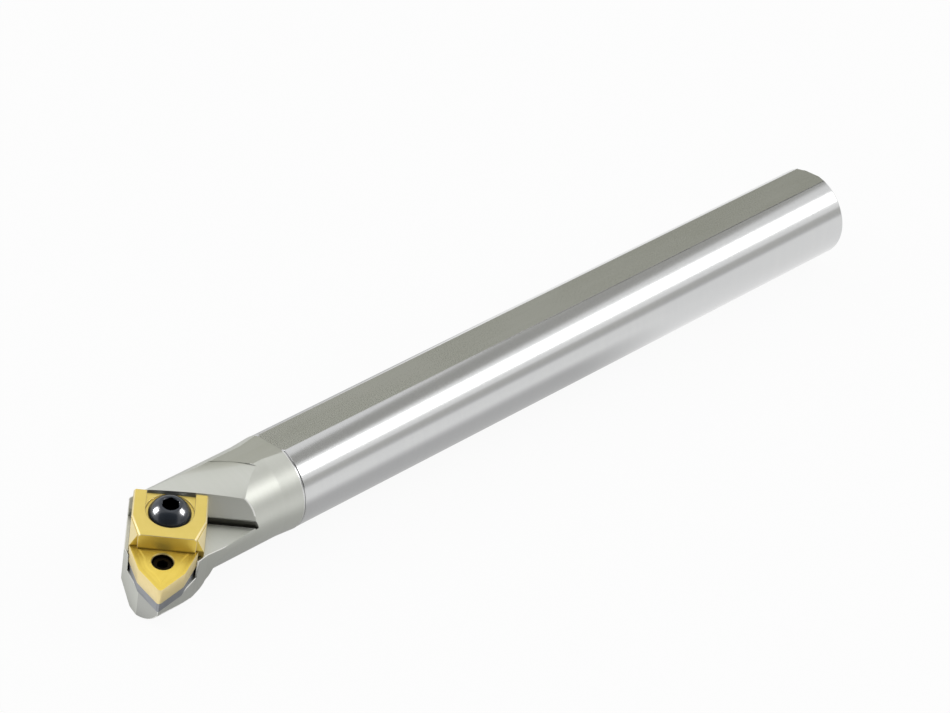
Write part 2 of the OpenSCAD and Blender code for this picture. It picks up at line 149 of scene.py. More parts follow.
def rings_piece(name, rings, place=None, closed=False):
    """A skin over rings of equally many points. closed joins the last ring to the first."""
    n = len(rings[0])
    points = [p for ring in rings for p in ring]
    last = len(rings) if closed else len(rings) - 1
    faces = []
    for i in range(last):
        a, b = i * n, (i + 1) % len(rings) * n
        faces += [(a + k, a + (k + 1) % n, b + (k + 1) % n, b + k) for k in range(n)]
    if not closed:
        faces += [tuple(range(n)), tuple(range((len(rings) - 1) * n, len(rings) * n))]
    return piece_from(name, points, faces, place)


def turned(outline, place=None, turns=128, name="blank", thread=None):
    """A form turned about Z from (radius, height) points.

    thread(angle, height) adds to the radius."""
    rings = []
    for r, z in outline:
        ring = []
        for k in range(turns):
            a = 2 * math.pi * k / turns
            out = r + (thread(a, z) if thread else 0)
            ring.append((out * math.cos(a), out * math.sin(a), z))
        rings.append(ring)
    return rings_piece(name, rings, place)


def rod(r, low, high, place=None, turns=96):
    return turned([(r, low), (r, high)], place, turns)


def block(low, high, place=None):
    (x0, y0, z0), (x1, y1, z1) = low, high
    return prism([(x0, y0), (x1, y0), (x1, y1), (x0, y1)], z0, z1, place)


def settle(piece):
    """Works a piece's modifiers into its mesh."""
    view = bpy.context.evaluated_depsgraph_get()
    mesh = bpy.data.meshes.new_from_object(piece.evaluated_get(view))
    piece.modifiers.clear()
    piece.data = mesh
    return piece


def combine(piece, how, *tools):
    """Cuts the tools off a piece (DIFFERENCE), joins them to it (UNION) or keeps what they
    share with it (INTERSECT), and clears them away."""
    tray = bpy.data.collections.new("tray")
    for tool in tools:
        tray.objects.link(tool)
    step = piece.modifiers.new("step", "BOOLEAN")
    step.operation, step.solver = how, "EXACT"
    step.operand_type, step.collection = "COLLECTION", tray
    settle(piece)
    for tool in tools:
        bpy.data.objects.remove(tool)
    bpy.data.collections.remove(tray)
    return piece


def edge_room(line):
    """How far the narrower of an edge's two faces reaches from it, or 0 beside a thin strip."""
    start, end = [v.co for v in line.verts]
    along = (end - start).normalized()
    if any(face.calc_area() < STRIP_W * max(e.calc_length() for e in face.edges)
           for face in line.link_faces):
        return 0
    return min(max((v.co - start).cross(along).length for v in face.verts)
               for face in line.link_faces)


def finish_edges(piece, name, width, segments=2, sharp=32):
    """Breaks a machined piece's outer edges, and shades it smooth but over sharp degrees."""
    form = bmesh.new()
    form.from_mesh(piece.data)
    # flat faces come out whole, without needle-thin leftovers of the cuts
    bmesh.ops.dissolve_limit(form, angle_limit=math.radians(0.2), verts=form.verts,
                             edges=form.edges)
    bmesh.ops.dissolve_degenerate(form, dist=0.0005, edges=form.edges)
    share = form.edges.layers.float.new("bevel_weight_edge")
    for line in form.edges:
        if line.is_convex and line.calc_face_angle(0) > EDGE_ANGLE:
            room = min(1, edge_room(line) / (EDGE_SPARE * width))
            line[share] = room if room > LEAST_SHARE else 0
    form.to_mesh(piece.data)
    form.free()
    edge = piece.modifiers.new("broken_edges", "BEVEL")
    edge.width, edge.segments, edge.limit_method = width, segments, "WEIGHT"
    edge.use_clamp_overlap = False
    # the new faces come out with the second slot's number, and are noted as broken edges
    piece.data.materials.append(None)
    piece.data.materials.append(None)
    edge.material = 1
    settle(piece)
    note = piece.data.attributes.new("broken_edge", "FLOAT", "FACE")
    note.data.foreach_set("value", [float(f.material_index == 1) for f in piece.data.polygons])
    piece.data.shade_smooth()
    piece.data.set_sharp_from_angle(angle=math.radians(sharp))
    piece.name = piece.data.name = name
    return piece


# ---- the trigon ----

def trigon_corner(k, inset=0):
    angle = math.radians(180 + 60 * k)
    r = (APOTHEM - inset) / math.sin(CORNER_HALF if k % 2 == 0 else BLUNT_HALF)
    return INSERT_CENTRE + r * math.cos(angle), r * math.sin(angle)


def trigon_radius(angle, inset=0, nose_r=NOSE_R):
    """Distance from the insert's centre to its side, in the direction angle."""
    side = APOTHEM - inset
    out = min(side / math.cos(angle - b) for b in TRIGON_NORMALS if math.cos(angle - b) > 0.5)
    r = max(nose_r - inset, 0.06)
    centre = (side - r) / math.sin(CORNER_HALF)
    turn = math.pi / 2 - CORNER_HALF
    tangent = math.atan2(r * math.sin(turn), centre + r * math.cos(turn))
    for k in range(3):
        off = (angle - math.pi - k * 2 * math.pi / 3 + math.pi) % (2 * math.pi) - math.pi
        if abs(off) < tangent:
            out = centre * math.cos(off) + math.sqrt(r * r - (centre * math.sin(off)) ** 2)
    return out


TRIGON_NORMALS = [math.radians(180 + 120 * k + s * 50) for k in range(3) for s in (-1, 1)]
TRIGON_ANGLES = []
for corner in range(3):
    middle = math.pi + corner * 2 * math.pi / 3
    TRIGON_ANGLES += [middle + math.radians(d) for d in
                      [-60 + 2 * i for i in range(27)] + [-6.5 + 0.65 * i for i in range(21)]
                      + [8 + 2 * i for i in range(26)]]
TRIGON_ANGLES = sorted(a % (2 * math.pi) for a in TRIGON_ANGLES)


def trigon(inset=0, nose_r=NOSE_R):
    return [(INSERT_CENTRE + trigon_radius(a, inset, nose_r) * math.cos(a),
             trigon_radius(a, inset, nose_r) * math.sin(a)) for a in TRIGON_ANGLES]


# ---- the pieces ----

def along_bar(start=0, shift=0):
    """Turns a form drawn along +Z so that it lies along the bar, towards -X."""
    return Matrix.Translation((-start, shift, 0)) @ Matrix.Rotation(-math.pi / 2, 4, "Y")


def turned_blank():
    """The shank, its shoulder ring and the head, as they come off the lathe."""
    r = SHANK_D / 2
    return turned([
        (r - REAR_CHAMFER, 0), (r, REAR_CHAMFER), (r, SHANK_LENGTH - UNDERCUT_W),
        (r - UNDERCUT_DEPTH, SHANK_LENGTH - UNDERCUT_W), (r - UNDERCUT_DEPTH, SHANK_LENGTH),
        (SHOULDER_D / 2, SHANK_LENGTH),
        (HEAD_D / 2, SHANK_LENGTH + SHOULDER_RUN), (HEAD_D / 2, BAR_LENGTH + PAST)
    ], along_bar(), 256, "bar_body")


def belly():
    """The second turned form, off the bar's axis, that carries the nose."""
    steps = 28
    end = BELLY_RUN + BELLY_BLEND * math.sin(BELLY_TAIL)
    end_r = BELLY_R - BELLY_BLEND * (1 - math.cos(BELLY_TAIL))
    foot = end + (end_r - BELLY_FOOT_R) / math.tan(BELLY_TAIL)
    outline = [(BELLY_R, PAST)]
    for i in range(steps + 1):
        a = BELLY_TAIL * i / steps
        outline.append((BELLY_R - BELLY_BLEND * (1 - math.cos(a)),
                        -BELLY_RUN - BELLY_BLEND * math.sin(a)))
    outline += [(BELLY_FOOT_R, -foot), (HEAD_D / 2 - BELLY_SHIFT, -foot - BELLY_RUNOUT)]
    return turned(outline, along_bar(BAR_LENGTH, -BELLY_SHIFT), 256)


def head_sides():
    """What is milled away round the head, square to the insert."""
    horn = (REAR_CORNER[0] - HORN_FRONT, -REAR_CORNER[1] - HORN_OUT)
    relief = (horn[0] + RELIEF_RUN * math.cos(RELIEF_ANGLE),
              horn[1] - RELIEF_RUN * math.sin(RELIEF_ANGLE))
    out = (relief[0] + REACH * math.cos(RUNOUT_ANGLE), relief[1] - REACH * math.sin(RUNOUT_ANGLE))
    outline = [trigon_corner(0, CARRIER_INSET), trigon_corner(5, CARRIER_INSET),
               (REAR_CORNER[0] + SHOULDER_BACK, LEFT_SIDE), (REACH, LEFT_SIDE),
               out, relief, horn, trigon_corner(1, CARRIER_INSET)]
    around = block((-REACH, -2 * REACH, -REACH), (SIDES_RUN, 2 * REACH, REACH))
    combine(around, "DIFFERENCE", prism(outline, -REACH - PAST, REACH + PAST))
    around.data.transform(SEAT)
    return around


def heel_flat():
    """The flat that breaks the heel's lower left corner."""
    place = (Matrix.Translation(NOSE) @ Matrix.Rotation(math.pi - HEEL_YAW, 4, "Z")
             @ Matrix.Rotation(HEEL_TILT, 4, "Y"))
    return block((HEEL_FLAT, -REACH, -REACH), (HEEL_FLAT + REACH, REACH, REACH), place)


def facet_room():
    """What is taken off over the rounded facet behind the pocket."""
    disc = rod(FACET_EDGE_R, HEAD_D / 4, HEAD_D * 1.25, Matrix.Translation(
        (-BAR_LENGTH + FACET_EDGE_BACK, -FACET_EDGE_OUT, 0)), 512)
    place = (Matrix.Translation((-BAR_LENGTH + FACET_BACK, 0, SHANK_H / 2 - FACET_DROP - FACET_R))
             @ Matrix.Rotation(-FACET_YAW, 4, "Z") @ Matrix.Rotation(math.pi / 2, 4, "Y"))
    return combine(disc, "DIFFERENCE", rod(FACET_R, -REACH, REACH, place, 512))


def seat_room():
    """Room for the shim and the insert, with the relief holes at its corners."""
    front, open_to = -REACH / 2, REAR_CORNER[0] - HORN_FRONT
    room = combine(prism(trigon(-SEAT_PLAY), -SEAT_DEPTH, REACH / 2), "UNION",
                   block((front, -REACH, -SEAT_DEPTH), (open_to, REACH, REACH / 2)))
    for side in (-1, 1):
        at = (Matrix.Translation((INSERT_CENTRE, 0, 0))
              @ Matrix.Rotation(side * math.pi / 3, 4, "Z")
              @ Matrix.Translation((INSERT_CENTRE - CORNER_RELIEF_IN, 0, 0)))
        combine(room, "UNION", rod(CORNER_RELIEF_D / 2, -INSERT_T - 0.5, REACH / 2, at, 48))
    room.data.transform(SEAT)
    return room


def clamp_room():
    """Room for the clamp: the floor, the sloping wall behind it, and the groove at its foot."""
    rise, lean = REACH / 2, math.tan(WALL_LEAN)
    side = Matrix.Rotation(math.pi / 2, 4, "X")
    back = WALL_FOOT + FOOT_GROOVE_H * lean
    room = prism([(-REACH, -FLOOR_DEPTH), (WALL_FOOT, -FLOOR_DEPTH),
                  (WALL_FOOT + (rise + FLOOR_DEPTH) * lean, rise), (-REACH, rise)],
                 -REACH, REACH, side)
    combine(room, "UNION", prism([
        (WALL_FOOT, -FLOOR_DEPTH - FOOT_GROOVE_DEPTH), (back, -FLOOR_DEPTH - FOOT_GROOVE_DEPTH),
        (back, FOOT_GROOVE_H - FLOOR_DEPTH), (WALL_FOOT, FOOT_GROOVE_H - FLOOR_DEPTH)],
        -REACH - PAST, REACH + PAST, side))
    room.data.transform(SEAT)
    return room


def bar_body():
    """The one-piece bar: turned, then milled."""
    bar = combine(turned_blank(), "UNION", belly())
    combine(bar, "DIFFERENCE", head_sides(), heel_flat(),
            block((-BAR_LENGTH - 2, -SHANK_D, SHANK_H / 2), (2, SHANK_D, SHANK_D)),
            block((-SHANK_LENGTH, -SHANK_D, -SHANK_D), (2, SHANK_D, -SHANK_H / 2)),
            facet_room(), seat_room(), clamp_room(),
            rod(PIN_THREAD_D / 2 + THREAD_GAP, -REACH, 0, PIN_AXIS),
            rod(SCREW_D / 2 + THREAD_GAP, -REACH, 0, SCREW_AXIS),
            rod(RING_D / 2 + 2 * RING_GAP, RING_TOP - RING_T - 2 * RING_GAP, REACH / 2, SCREW_AXIS),
            turned([(CENTRE_HOLE_D / 2 + PAST * math.tan(math.pi / 6), -PAST), (0.05, 4.3)],
                   along_bar(), 48))
    return finish_edges(bar, "bar_body", BAR_EDGE, sharp=3.2)


def shim_plate():
    """The carbide shim under the insert, with the seat of the lock pin's cone."""
    h = (PIN_CONE_D - PIN_THREAD_D) / 2
    r = PIN_THREAD_D / 2 + THREAD_GAP
    middle = Matrix.Translation((INSERT_CENTRE, 0, 0))
    shim = prism(trigon(SHIM_INSET), -SEAT_DEPTH, -INSERT_T)
    combine(shim, "DIFFERENCE", rod(SHIM_HOLE_D / 2, -SEAT_DEPTH - PAST, 0, middle),
            turned([(r, PIN_CONE_TOP - h), (r + h, PIN_CONE_TOP), (r + h, PIN_CONE_TOP + PAST)],
                   middle, 96))
    return finish_edges(shim, "shim_plate", SHIM_EDGE)


def smooth(x):
    x = min(max(x, 0), 1)
    return x * x * (3 - 2 * x)


def chip_form(angle, r, inset):
    """Height of the insert's face at an angle and a radius, inset from its edge: a flat land,
    a groove, and a star-shaped middle with soft flanks."""
    land, fall, depth = 0.20, 1.1, 0.10
    waist, arm, spread, flank = 4.2, 2.65, 11, 0.8
    # degrees away from the nearest of the three noses
    off = abs((math.degrees(angle) - 180 + 60) % 120 - 60)
    star = waist + arm * math.exp(-(off / spread) ** 1.15)
    low = smooth((inset - land) / fall)
    return -depth * low * (1 - smooth((star - r) / flank + 0.5))


def turning_insert():
    """The trigon insert: ground sides, honed edges, chip form on both faces, and its hole."""
    bore, chamfer, hone = INSERT_HOLE_D / 2, 0.28, 0.035
    insets = [0, 0.015, hone] + [0.13, 0.22, 0.26, 0.31, 0.38, 0.46, 0.55, 0.65, 0.76, 0.88, 1.0,
                                 1.13, 1.26, 1.4, 1.55, 1.7, 1.85]
    shares = [0.04 * i for i in range(1, 25)] + [1]
    face = []
    for inset in insets:
        edge = hone - math.sqrt(max(hone ** 2 - (hone - inset) ** 2, 0)) if inset < hone else 0
        ring = []
        for a in TRIGON_ANGLES:
            r = trigon_radius(a, inset)
            x, y = r * math.cos(a), r * math.sin(a)
            ring.append((x, y, chip_form(a, r, inset) - edge))
        face.append(ring)
    for share in shares:
        ring = []
        for a in TRIGON_ANGLES:
            r = trigon_radius(a, insets[-1]) * (1 - share) + (bore + chamfer) * share
            x, y = r * math.cos(a), r * math.sin(a)
            ring.append((x, y, chip_form(a, r, insets[-1])))
        face.append(ring)
    face.append([(bore * math.cos(a), bore * math.sin(a), -chamfer * 1.2) for a in TRIGON_ANGLES])
    low = [[(x, y, -INSERT_T - z) for x, y, z in ring] for ring in face]
    # from the top hole's rim out to the edge, down the side, and back to the lower rim
    rings = face[::-1] + low
    insert = rings_piece("turning_insert", rings, Matrix.Translation((INSERT_CENTRE, 0, 0)),
                         closed=True)
    insert.data.shade_smooth()
    insert.data.set_sharp_from_angle(angle=math.radians(40))
    return insert


def clamp_top(front):
    half, front_half, taper = CLAMP_W / 2, CLAMP_FRONT_W / 2, CLAMP_FOOT + CLAMP_TAPER
    return [(REACH, half), (taper, half), (front, front_half),
            (front, -front_half), (taper, -half), (REACH, -half)]


def clamp_body():
    """The wedge clamp: a finger over the insert, shoulders, heel, and the screw's recess."""
    half, shift = CLAMP_W / 2, Matrix.Translation((0, -CLAMP_SHIFT, 0))
    narrowing = math.atan((half - CLAMP_FRONT_W / 2) / CLAMP_TAPER)
    shoulders = block((CLAMP_FOOT + SHOULDER_SET, -half, -PAST), (REACH, half, CLAMP_TOP))
    for side in (1, -1):
        place = (Matrix.Diagonal((1, side, 1, 1))
                 @ Matrix.Translation((CLAMP_FOOT + CLAMP_TAPER, half, CLAMP_TOP))
                 @ Matrix.Rotation(narrowing, 4, "Z") @ Matrix.Rotation(SHOULDER_SLOPE, 4, "X"))
        combine(shoulders, "DIFFERENCE",
                block((-REACH, 0, -REACH), (REACH, 2 * REACH, REACH), place))
    clamp = combine(prism(clamp_top(CLAMP_FOOT), 0, CLAMP_TOP), "UNION", shoulders)
    clamp.data.transform(shift)
    combine(clamp, "DIFFERENCE", block((0, -REACH, -REACH), (REACH + PAST, REACH, 0)))
    blunt = trigon_corner(3, -PUSH_GAP)
    slope = (REAR_CORNER[0] - INSERT_CENTRE - APOTHEM / math.sin(BLUNT_HALF)) / REAR_CORNER[1]
    left, right = half - CLAMP_SHIFT, -half - CLAMP_SHIFT
    combine(clamp, "UNION", prism([
        blunt, (blunt[0] + slope * left, left), (REACH, left),
        (REACH, right), (blunt[0] - slope * right, right)], CLAMP_BOTTOM, 0.01))
    heel, lean = WALL_FOOT - HEEL_GAP / math.cos(WALL_LEAN), math.tan(WALL_LEAN)
    rise = CLAMP_TOP + FLOOR_DEPTH
    combine(clamp, "INTERSECT", prism([
        (CLAMP_FOOT, 0), (CLAMP_FOOT + CLAMP_SLOPE, CLAMP_TOP), (heel + rise * lean, CLAMP_TOP),
        (heel + LIFT_GAP * lean, CLAMP_BOTTOM), (CLAMP_FOOT, CLAMP_BOTTOM)],
        -REACH, REACH, Matrix.Rotation(math.pi / 2, 4, "X")))
    points, side = clamp_top(CLAMP_FOOT + CLAMP_SLOPE), CLAMP_BEVEL * math.sqrt(2)
    for (x0, y0), (x1, y1) in zip(points, points[1:]):
        if x0 == x1:
            continue  # the finger's front edge has no bevel
        place = (shift @ Matrix.Translation((x0, y0, CLAMP_TOP))
                 @ Matrix.Rotation(math.atan2(y1 - y0, x1 - x0), 4, "Z")
                 @ Matrix.Rotation(math.pi / 4, 4, "X"))
        length = math.hypot(x1 - x0, y1 - y0)
        combine(clamp, "DIFFERENCE", block((-side, -side / 2, -side / 2),
                                           (length + side, side / 2, side / 2), place))
    r, screw = SCREW_HEAD_D / 2 + RECESS_GAP, Matrix.Translation((SCREW_AT, -CLAMP_SHIFT, 0))
    combine(clamp, "DIFFERENCE", rod(r, RECESS_FLOOR, REACH / 2, screw, 128),
            block((0, -r, CLAMP_TOP - REAR_DEPTH), (REACH, r, REACH), screw),
            rod(SCREW_D / 2 + THREAD_GAP, CLAMP_BOTTOM - PAST, CLAMP_TOP, screw))
    return finish_edges(clamp, "clamp_body", CLAMP_EDGE, segments=3, sharp=14)


def thread_form(pitch, depth, top, fade=1.2):
    """How far a thread's flank lies below its crest, at an angle round and a height."""
    def form(angle, z):
        phase = (z / pitch - angle / (2 * math.pi)) % 1
        flank = min(max((abs(phase - 0.5) - 0.06) / 0.32, 0), 1)
        return -depth * flank * smooth((top - z) / fade) if z < top else 0
    return form


def hex_socket(key, low, high):
    r = key / math.sqrt(3)
    return prism([(r * math.cos(math.pi / 3 * k), r * math.sin(math.pi / 3 * k)) for k in range(6)],
                 low, high)


def head_cap():
    """The screw head's outline from its edge to its crown, part of a ball."""
    r, crown, low, high = SCREW_HEAD_D / 2, SCREW_CROWN_D / 2, SCREW_EDGE_H, SCREW_HEAD_H
    drop = (r * r - crown * crown + low * low - high * high) / (2 * (low - high))
    ball = math.hypot(r, low - drop)
    start, end = math.atan2(low - drop, r), math.atan2(high - drop, crown)
    return [(ball * math.cos(start + (end - start) * i / 24),
             drop + ball * math.sin(start + (end - start) * i / 24)) for i in range(25)]


def clamp_screw_body():
    """The button-head screw, with its rolled thread, the ring's groove and the hexagon socket."""
    r = SCREW_D / 2
    groove_top = RING_TOP + RING_GAP - RECESS_FLOOR
    groove_low = RING_TOP - RING_T - RING_GAP - RECESS_FLOOR
    thread_top = groove_low - 0.9
    steps = int((SCREW_L + thread_top) * 14)
    outline = [(r - 1.1, -SCREW_L), (r - 0.75, -SCREW_L + 0.06)]
    for i in range(steps + 1):
        z = -SCREW_L + 0.1 + (SCREW_L - 0.1 + thread_top) * i / steps
        outline.append((r - 0.7 * (1 - smooth((z + SCREW_L) / 0.8)), z))
    outline += [(r, groove_low), (r - RING_GROOVE, groove_low), (r - RING_GROOVE, groove_top),
                (r, groove_top), (r, -0.3), (r, 0), (SCREW_HEAD_D / 2 - 0.12, 0),
                (SCREW_HEAD_D / 2, 0.12)]
    outline += head_cap() + [(SCREW_CROWN_D / 2 - 0.15, SCREW_HEAD_H)]
    screw = turned(outline, None, 96, "clamp_screw_body",
                   thread_form(SCREW_PITCH, 0.55, thread_top))
    combine(screw, "DIFFERENCE",
            hex_socket(SCREW_KEY, SCREW_HEAD_H - SCREW_SOCKET, SCREW_HEAD_H + PAST),
            turned([(SCREW_KEY / 2 - 0.4, SCREW_HEAD_H - 0.6),
                    (SCREW_KEY / 2 + 0.75, SCREW_HEAD_H + 0.55)]))
    screw.data.shade_smooth()
    screw.data.set_sharp_from_angle(angle=math.radians(32))
    screw.name = "clamp_screw_body"
    return screw


def lock_pin_body():
    """The lock pin: its plain top inside the insert, the cone in the shim, and its thread."""
    r, h = PIN_THREAD_D / 2, (PIN_CONE_D - PIN_THREAD_D) / 2
    bottom, top = -SEAT_DEPTH - PIN_THREAD_L, -SEAT_DEPTH
    steps = int(PIN_THREAD_L * 14)
    outline = [(r - 0.9, bottom)]
    for i in range(1, steps + 1):
        z = bottom + (top - bottom) * i / steps
        outline.append((r - 0.6 * (1 - smooth((z - bottom) / 0.6)), z))
    outline += [(r, PIN_CONE_TOP - h), (r + h, PIN_CONE_TOP), (PIN_D / 2, PIN_CONE_TOP),
                (PIN_D / 2, -PIN_SINK - 0.3), (PIN_D / 2 - 0.3, -PIN_SINK)]
    pin = turned(outline, None, 96, "lock_pin_body", thread_form(0.8, 0.42, top))
    combine(pin, "DIFFERENCE", hex_socket(PIN_KEY, -PIN_SINK - PIN_SOCKET, -PIN_SINK + PAST))
    pin.data.shade_smooth()
    pin.data.set_sharp_from_angle(angle=math.radians(32))
    pin.name = "lock_pin_body"
    return pin


# ---- finishes ----

class Term:
    """A value that changes over a surface, so that it can be used in plain arithmetic."""

    def __init__(self, finish, socket):
        self.finish, self.socket = finish, socket

    def math(self, operation, *values):
        return self.finish.node("Math", {"operation": operation}, dict(enumerate(values)))

    def __add__(self, other): return self.math("ADD", self, other)
    def __radd__(self, other): return self.math("ADD", other, self)
    def __sub__(self, other): return self.math("SUBTRACT", self, other)
    def __rsub__(self, other): return self.math("SUBTRACT", other, self)
    def __mul__(self, other): return self.math("MULTIPLY", self, other)
    def __rmul__(self, other): return self.math("MULTIPLY", other, self)
    def __truediv__(self, other): return self.math("DIVIDE", self, other)
    def __abs__(self): return self.math("ABSOLUTE", self)

    def step(self, low, high):
        """0 below low, 1 above high, smooth between them."""
        return self.finish.node("MapRange", {"interpolation_type": "SMOOTHSTEP"},
                                {"Value": self, "From Min": low, "From Max": high})

    def most(self, other): return self.math("MAXIMUM", self, other)


class Finish:
    """A surface finish: a Principled shader with its constants, and the nodes that feed it."""

    def __init__(self, name, tree=None, **constants):
        self.material = None
        if tree is None:
            self.material = bpy.data.materials.new(name)
            self.material.use_nodes = True
            tree = self.material.node_tree
            self.shader = tree.nodes["Principled BSDF"]
            for key, value in constants.items():
                self.shader.inputs[key.replace("_", " ")].default_value = value
        self.tree = tree

    def node(self, kind, settings=None, values=None, output=0):
        """Any node, by its type, its settings and the values or terms of its sockets."""
        made = self.tree.nodes.new("ShaderNode" + kind)
        for key, value in (settings or {}).items():
            setattr(made, key, value)
        for key, value in (values or {}).items():
            self.put(made.inputs[key], value)
        return Term(self, made.outputs[output])

    def put(self, socket, value):
        if isinstance(value, Term):
            self.tree.links.new(value.socket, socket)
        else:
            socket.default_value = (*value, 1) if isinstance(value, tuple) and len(
                socket.default_value) == 4 and len(value) == 3 else value

    def blend(self, mask, low, high):
        """A colour between low and high."""
        return self.node("Mix", {"data_type": "RGBA"}, {0: mask, 6: low, 7: high}, output=2)

    def here(self):
        """The place on the piece, in metres in the part's own frame."""
        return self.node("TexCoord", output=3)

    def facing(self, direction):
        """How far a surface looks in a direction of the part's own frame, from -1 to 1."""
        return self.node("VectorMath", {"operation": "DOT_PRODUCT"},
                         {0: self.node("TexCoord", output=1), 1: tuple(direction)}, output=1)

    def from_point(self, point):
        """The way from a point, given in millimetres, to the place on the piece, in metres."""
        return self.node("VectorMath", {"operation": "SUBTRACT"},
                         {0: self.here(), 1: tuple(Vector(point) * MM)})

    def reach(self, point, direction):
        """How far the place lies from a point along a direction, in millimetres."""
        return self.node("VectorMath", {"operation": "DOT_PRODUCT"}, {
            0: self.from_point(point), 1: tuple(Vector(direction).normalized() / MM)}, output=1)

    def off_axis(self, place):
        """How far the place lies from the Z axis of a frame, in millimetres."""
        axis = place.to_3x3() @ Vector((0, 0, 1 / MM))
        across = self.node("VectorMath", {"operation": "CROSS_PRODUCT"}, {
            0: self.from_point(place.translation), 1: tuple(axis)})
        return self.node("VectorMath", {"operation": "LENGTH"}, {0: across}, output=1)

    def part(self, vector, axis):
        return self.node("SeparateXYZ", values={0: vector}, output=axis)

    def grain(self, scale, stretch=(1, 1, 1), detail=3):
        """Noise, scale to the metre, squeezed along each axis by stretch."""
        place = self.node("VectorMath", {"operation": "MULTIPLY"}, {0: self.here(), 1: stretch})
        return self.node("TexNoise", {}, {"Vector": place, "Scale": scale, "Detail": detail,
                                          "Roughness": 0.6})

    def bump(self, height, strength=0.1, distance=0.0001):
        return self.node("Bump", {}, {"Strength": strength, "Distance": distance, "Height": height})

    def feed(self, **values):
        for key, value in values.items():
            self.put(self.shader.inputs[key.replace("_", " ")], value)
        return self.material


def bar_steel():
    """Hardened steel, ground on the shank and satin plated on the head."""
    f = Finish("bar_steel")
    along = f.part(f.here(), 0)
    shank = along.step(-0.2006, -0.2002)
    flat = abs(f.facing((0, 0, 1))).step(0.985, 0.998)
    ground_flat = flat * shank
    # grinding lines run along the flats and round the shank
    lines = f.grain(900, (0.05, 1, 1), 4) * flat + f.grain(1400, (1, 0.03, 0.03), 3) * (1 - flat)
    fine = f.grain(5200, (1, 1, 1), 3)
    cloud = f.grain(60, (0.4, 1, 1), 2)
    skin = f.blend(shank, (0.585, 0.60, 0.54), (0.585, 0.59, 0.60))
    skin = f.blend(flat * 0.8, skin, (0.47, 0.475, 0.40))
    steel_tone_and_painted_light = f.blend((cloud - 0.5) * 0.35 + (lines - 0.5) * 0.3 + 0.3, skin, (0.70, 0.70, 0.68))
    # the heel's front, left as milled, and painted shade where no light gets in
    steel_tone_and_painted_light = f.blend(f.facing(HEEL_FRONT).step(0.985, 0.995) * 0.45, steel_tone_and_painted_light, (0.25, 0.25, 0.25))
    back, up = f.reach(NOSE, SEAT_BACK), f.reach(NOSE, SEAT_UP)
    square = f.facing(-SEAT_BACK).step(0.97, 0.99).most(f.facing(SEAT_UP).step(0.985, 0.995))
    groove_top = FOOT_GROOVE_H - FLOOR_DEPTH
    groove = square * back.step(WALL_FOOT - 0.1, WALL_FOOT - 0.02) * (
        1 - up.step(groove_top - 0.1, groove_top)) * (1 - f.reach(NOSE, SEAT_LEFT).step(5, 6))
    behind = f.facing(WALL_FACE).step(0.97, 0.99) * up.step(RECESS_FLOOR - 0.6, RECESS_FLOOR) * (
        1 - abs(f.reach(SCREW_AXIS.translation, SEAT_LEFT)).step(5.6, 6.0))
    # painted shade: the groove at the wall's foot, and the wall seen through the clamp's recess
    steel_tone_and_painted_light = f.blend(groove * 0.75, steel_tone_and_painted_light, (0.03, 0.028, 0.02))
    steel_tone_and_painted_light = f.blend(behind * 0.6, steel_tone_and_painted_light, (0.05, 0.045, 0.03))
    # edges broken by hand, with a painted highlight: brighter and less metallic than the faces
    edge = f.node("Attribute", {"attribute_name": "broken_edge"}, output=2) * (1 - shank)
    steel_tone_and_painted_light = f.blend(edge * 0.9, steel_tone_and_painted_light, (0.97, 0.97, 0.94))
    rough = 0.40 - shank * 0.24 + ground_flat * 0.12 + (fine - 0.5) * 0.08 + (cloud - 0.5) * 0.04
    height = lines * shank * 0.6 + fine * (1 - shank * 0.6)
    return f.feed(Base_Color=steel_tone_and_painted_light, Metallic=1 - edge * 0.75, Roughness=rough,
                  Normal=f.bump(height, 0.10, 0.00003))


def shim_carbide():
    """Ground tungsten carbide, blue-grey and matt."""
    f = Finish("shim_carbide", Metallic=1.0)
    fine, cloud = f.grain(6500, (1, 1, 1), 4), f.grain(420, (1, 1, 1), 2)
    colour = f.blend(cloud, (0.27, 0.285, 0.31), (0.36, 0.37, 0.39))
    return f.feed(Base_Color=colour, Roughness=0.40 + (fine - 0.5) * 0.2,
                  Normal=f.bump(fine, 0.15, 0.00003))


def insert_coating():
    """Gold coating on pressed and ground carbide: deep on the faces, paler on the ground sides."""
    f = Finish("insert_coating")
    fine, cloud = f.grain(5200, (1, 1, 1), 4), f.grain(700, (1, 1, 1), 3)
    face = abs(f.facing(SEAT_UP)).step(0.35, 0.75)
    top = f.blend(cloud, (0.90, 0.67, 0.11), (0.97, 0.75, 0.16))
    side = f.blend(cloud, (0.86, 0.70, 0.33), (0.94, 0.79, 0.43))
    # painted shade: the hole's wall, below its rim, near-black and fully metallic
    bore = (1 - f.off_axis(PIN_AXIS).step(INSERT_HOLE_D / 2, INSERT_HOLE_D / 2 + 0.1)) * (
        1 - f.reach(NOSE, SEAT_UP).step(-0.5, -0.2))
    return f.feed(Base_Color=f.blend(bore, f.blend(face, side, top), (0.02, 0.015, 0.008)),
                  Metallic=0.82 + bore * 0.18, Roughness=0.40 + (fine - 0.5) * 0.18,
                  Normal=f.bump(fine + cloud * 0.6, 0.22, 0.00004))


